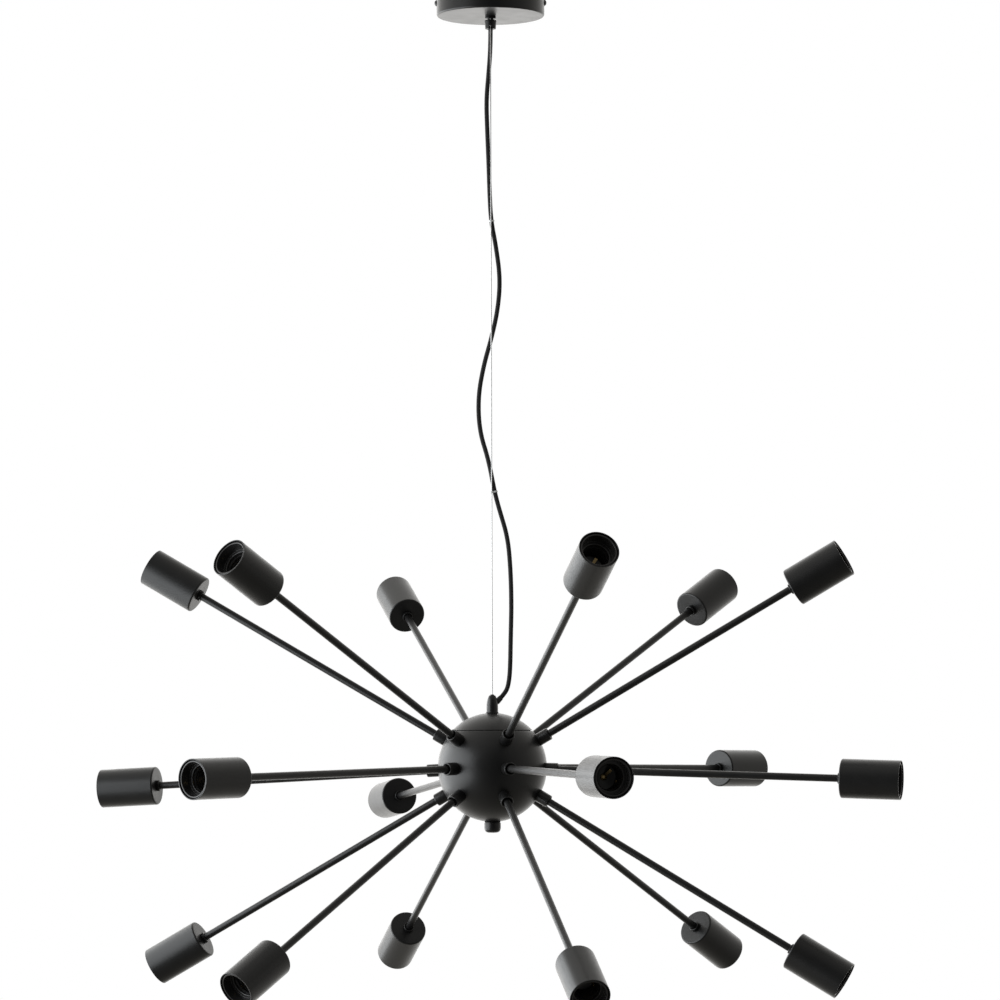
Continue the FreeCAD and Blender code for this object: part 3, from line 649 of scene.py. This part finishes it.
finished("ball", half_ball(False), black_coat, "hub", "black_paint", "hub_shell")
finished("ball_cap", half_ball(True), black_coat, "hub", "black_paint", "hub_cap")
dressed(zinc, "hub_nuts", "central_rod", "rod_nuts")
dressed(white_plastic, "splice_block", "arm_leads")
dressed(braid, "hub_lead")

# ---------------------------------------------------------------- finial
# Rounded cap nut on the rod's lower end, over a thin washer dished to the ball.
finial = turned([(0, -0.0610), (0.0091, -0.0610, 0.0003), (0.0091, -0.0672, 0.0012), (0.0083, -0.0698, 0.001),
                 (0.0064, -0.0714, 0.001), (0.0036, -0.0719, 0.0008), (0, -0.0720)], steps=64)
finial.transform(ball_place)
finished("cap_nut", finial, black_coat, "hub", "black_paint", "finial")
washer = turned([(stem_radius, -0.0596), (0.0086, -0.0593), (0.0086, -0.0609, 0.0002),
                 (stem_radius, -0.0609)], steps=64)
washer.transform(ball_place)
finished("cap_nut_washer", washer, black_coat, "hub", "black_paint", "finial_washer")

# ---------------------------------------------------------------- wire gripper
# Bullet-shaped steel gripper on the ball's top: it bites on the wire, and pressing its tip lets the wire
# go. The cord goes in at its side through a short tapered rubber sleeve.
gripper_coat = coat_finish("satin black gripper", 0.010, 0.30, grain=0.5)
gripper = turned([(0.0032, 0.0590), (0.0070, 0.0595), (0.0070, 0.0605, 0.0002), (0.00645, 0.0609),
                  (0.0064, 0.0660), (0.0063, 0.0690), (0.0060, 0.0716), (0.0056, 0.0738), (0.00505, 0.0757),
                  (0.0043, 0.0775), (0.0036, 0.0788), (0.0031, 0.0792, 0.0002), (0.0026, 0.0792),
                  (0.0026, 0.0778), (0.0032, 0.0778)], steps=64)
gripper.transform(ball_place)
finished("gripper", gripper, gripper_coat, "hub", "black_paint", "gripper_body")
plunger = turned([(0.0010, 0.0754), (0.0029, 0.0754), (0.0029, 0.0776), (0.0023, 0.0776),
                  (0.0023, 0.0797, 0.0005), (0.0015, 0.0803, 0.0003), (0.0010, 0.0804)], steps=40)
plunger.transform(ball_place)
finished("gripper_tip", plunger, gripper_coat, "release", "black_paint", "gripper_plunger")
dressed(drawn_steel, "gripper_balls")

spring_radius = 0.0024
spring_low = 0.0737
spring_rise = 0.0013
spring_turns = 2
steps_a_turn = 16
coil = []
for k in range(steps_a_turn * spring_turns + 1):
    bearing = 2 * math.pi * k / steps_a_turn
    coil.append((spring_radius * math.cos(bearing), wire_y + spring_radius * math.sin(bearing),
                 hub_z + spring_low + spring_rise * k / (steps_a_turn * spring_turns)))
spring, _ = braided("plunger_spring", coil, 0.0003)
spring.data.materials.append(drawn_steel)
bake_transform(spring)
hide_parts("gripper_spring")

sleeve_turn = math.radians(25)
sleeve_slope = math.radians(45)
sleeve_cross = 0.0664
sleeve_rubber = moulded_finish("black rubber", (0.012, 0.012, 0.012), 0.6)
sleeve = turned([(0.00256, 0.0066), (0.00295, 0.0066), (0.00295, 0.0082), (0.0033, 0.0085),
                 (0.0031, 0.0120), (0.0029, 0.0150, 0.0002), (0.00256, 0.0150)], steps=40)
flat = math.cos(sleeve_slope)
out_of_mouth = Vector((flat * math.cos(sleeve_turn), flat * math.sin(sleeve_turn), math.sin(sleeve_slope)))
sleeve_lean = out_of_mouth.to_track_quat("Z", "Y").to_matrix().to_4x4()
sleeve.transform(ball_place @ Matrix.Translation((0, 0, sleeve_cross)) @ sleeve_lean)
finished("rubber_sleeve", sleeve, sleeve_rubber, "hub", "sleeve_rubber", "cord_sleeve")

# ---------------------------------------------------------------- arms
# 18 straight steel tubes, 8 mm across, in three rows of six. Each goes into a collar on the ball, 74 mm
# from its centre, and leaves it with a dark recess round it. None is perfectly true, as on the real lamp.
arm_radius = 0.004
arm_end = 0.397
first_azimuth = -12.5
rows = {
    "upper": ((30, 0.1), (27.9, 0.7), (27.3, 0.1), (29.9, 0.5), (28.9, -0.3), (29.3, -0.7)),
    "middle": ((-1.9, -0.3), (-0.3, 0.4), (-5, -0.2), (-2.9, -0.7), (-1.4, 0.4), (-1.3, -1.2)),
    "lower": ((-30.7, -0.2), (-28.5, -0.1), (-29, 0.2), (-29.4, -3.1), (-30.4, 0.4), (-30.9, -2.1)),
}


def along_arm(row, number, reach=0.0):
    """The place of something modelled about +Z, laid along an arm at reach from the ball's centre."""
    elevation, turn = rows[row][number]
    return (ball_place @ Matrix.Rotation(math.radians(first_azimuth + 60 * number + turn), 4, "Z")
            @ Matrix.Rotation(math.radians(90 - elevation), 4, "Y") @ Matrix.Translation((0, 0, reach)))


def on_every_arm(make, reach=0.0, chosen=("upper", "middle", "lower")):
    """One shape that holds the same part on all the arms of some rows."""
    whole = bmesh.new()
    for row in chosen:
        for number in range(6):
            added(whole, make(), along_arm(row, number, reach))
    return whole


def collar():
    """Turned collar, its foot on the ball's skin."""
    return turned([(0.00405, 0.0596), (0.0070, 0.0593), (0.0070, 0.074, 0.0008), (0.0054, 0.074, 0.0005),
                   (0.0054, 0.069), (0.00405, 0.069)], steps=48)


def arm():
    """Drawn tube with its open end in the cup."""
    return turned([(0.003, 0.056), (arm_radius, 0.056), (arm_radius, 0.15), (arm_radius, 0.30),
                   (arm_radius, arm_end, 0.0003), (0.003, arm_end)], steps=40)


finished("collars", on_every_arm(collar), black_coat, "hub", "black_paint", "hub_collars")
for row in rows:
    finished("tubes_" + row, on_every_arm(arm, chosen=(row,)), black_coat, "hub", "black_paint",
             "arms_" + row)

# ---------------------------------------------------------------- lamp cups
# Spun steel cups, 65 mm long and 43 mm across, with a soft corner at the base and a fine rolled rim at the
# open end. A small lock collar holds each against its arm.
cup_reach = 0.388
cup_length = 0.065
cup_radius = 0.0213
cup_sheet = 0.0012


def cup():
    """One cup, base at zero."""
    inner = cup_radius - cup_sheet
    return turned([(0.00405, 0), (cup_radius, 0, 0.0018), (cup_radius, cup_length, 0.0004),
                   (inner, cup_length, 0.0004), (inner, 0.0015, 0.0008), (0.00405, 0.0015)], steps=96)


def cup_collar():
    """Lock collar behind the cup's base."""
    return turned([(0.00402, -0.0036), (0.006, -0.0036, 0.0006), (0.006, -0.00002, 0.0002),
                   (0.00402, -0.00002)], steps=48)


for row in rows:
    for number in range(6):
        shell = cup()
        shell.transform(along_arm(row, number, cup_reach))
        finished("cup_shell_{}_{}".format(row, number + 1), shell, black_coat, "hub", "black_paint",
                 "cup_{}_{}".format(row, number + 1))
finished("lock_collars", on_every_arm(cup_collar, cup_reach), black_coat, "hub", "black_paint", "cup_collars")

# ---------------------------------------------------------------- lampholders
# Black moulded E27 holders: a wide mouth just inside the cup's rim, a flat step, and the threaded bore. At
# the bottom are a brass centre contact with its sprung tongue and a small side contact.
holder_radius = 0.0194
mouth_radius = 0.0176
thread_radius = 0.01365
thread_low = 0.0322
thread_high = 0.0518
thread_pitch = 0.00363


def holder():
    """Holder body with its stepped mouth."""
    return turned([(0.0021, 0.027), (0.0174, 0.027), (0.0174, 0.014), (holder_radius, 0.014),
                   (holder_radius, 0.0638, 0.0006), (mouth_radius, 0.0638, 0.0006),
                   (mouth_radius, 0.0524, 0.0004), (thread_radius + 0.0001, 0.0524, 0.0009),
                   (thread_radius + 0.0001, 0.032), (0.0125, 0.032), (0.0125, 0.030), (0.0021, 0.030)],
                  steps=72)


def thread():
    """Rounded E27 thread: a wavy profile that is spun and raised by one pitch a turn."""
    shape = bmesh.new()
    steps = 48
    waves = int((thread_high - thread_low) / thread_pitch) - 1
    samples = 6
    profile = [shape.verts.new((thread_radius - 0.0004 + 0.0004 * math.cos(2 * math.pi * k / samples), 0,
                                thread_low + thread_pitch * k / samples)) for k in range(waves * samples + 1)]
    run = [shape.edges.new(pair) for pair in zip(profile, profile[1:])]
    bmesh.ops.spin(shape, geom=profile + run, axis=(0, 0, 1), cent=(0, 0, 0), angle=2 * math.pi, steps=steps,
                   dvec=(0, 0, thread_pitch / steps), use_merge=False)
    bmesh.ops.solidify(shape, geom=shape.faces[:], thickness=-0.0002)
    bmesh.ops.recalc_face_normals(shape, faces=shape.faces)
    return shape


def contact():
    """Riveted brass contact with its domed head and a sprung tongue that leans up from the side."""
    shape = turned([(0, 0.0255), (0.00195, 0.0255), (0.00195, 0.030), (0.0036, 0.030, 0.0002),
                    (0.0036, 0.0307, 0.0002), (0.003, 0.031), (0.0018, 0.0315), (0.0006, 0.0318),
                    (0, 0.0318)], steps=32)
    tongue = bmesh.new()
    bmesh.ops.create_cube(tongue, size=1.0)
    bmesh.ops.scale(tongue, verts=tongue.verts, vec=(0.009, 0.0032, 0.0004))
    bmesh.ops.bevel(tongue, geom=tongue.edges, offset=0.00012, offset_type="OFFSET", segments=2, profile=0.5,
                    affect="EDGES", material=-1)
    added(shape, tongue, Matrix.Rotation(math.radians(-40), 4, "Z") @ Matrix.Translation((-0.0055, 0, 0.0338))
          @ Matrix.Rotation(math.radians(28), 4, "Y"))
    side_contact = bmesh.new()
    bmesh.ops.create_cube(side_contact, size=1.0)
    bmesh.ops.scale(side_contact, verts=side_contact.verts, vec=(0.0005, 0.0035, 0.006))
    bmesh.ops.bevel(side_contact, geom=side_contact.edges, offset=0.00012, offset_type="OFFSET", segments=2,
                    profile=0.5, affect="EDGES", material=-1)
    added(shape, side_contact,
          Matrix.Rotation(math.radians(70), 4, "Z") @ Matrix.Translation((0.0122, 0, 0.0335)))
    return shape


finished("holders", on_every_arm(holder, cup_reach), holder_plastic, "hub", "black_plastic", "lampholders")
finished("threads", on_every_arm(thread, cup_reach), holder_plastic, "hub", "black_plastic", "screw_shells")
finished("contacts", on_every_arm(contact, cup_reach), brass, "hub", "contact_brass", "centre_contacts")
dressed(black_plastic, "holder_caps")
